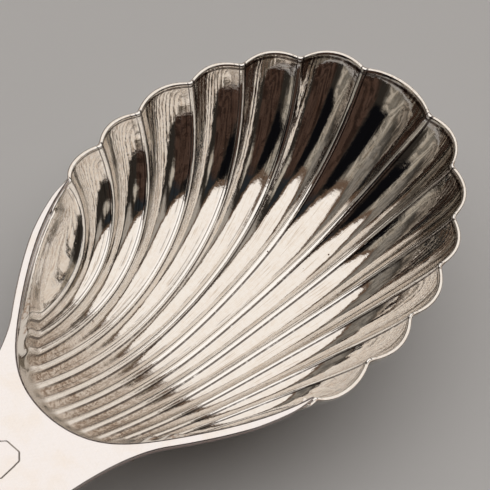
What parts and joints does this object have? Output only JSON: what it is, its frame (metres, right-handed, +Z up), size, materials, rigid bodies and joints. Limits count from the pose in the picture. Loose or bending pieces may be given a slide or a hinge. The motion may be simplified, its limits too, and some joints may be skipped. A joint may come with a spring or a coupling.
{
  "type": "caddy spoon",
  "caption": "Small silver caddy spoon: a deep shell-shaped bowl with radiating flutes and a lobed rim, on a short flat handle whose yoke runs round the back of the bowl.",
  "frame": {"origin": "on the table under the middle of the spoon's bounding box, with the spoon lying as it rests on the belly of its bowl and the end of its handle", "axes": "+X along the spoon from the handle to the lobed tip of the bowl, +Y across it, +Z up; the open side of the bowl looks up"},
  "size_m": [0.084, 0.0344, 0.015],
  "materials": {
    "bowl_silver": "polished sterling silver, bright inside the flutes, with fine wiping marks",
    "handle_silver": "polished flat silver with soft wear scratches",
    "solder_silver": "hard silver solder, dressed smooth and slightly dull"
  },
  "bodies": {
    "root": {"shell_bowl": "bowl_silver", "handle": "handle_silver", "heel_solder": "solder_silver"}
  },
  "joints": []
}
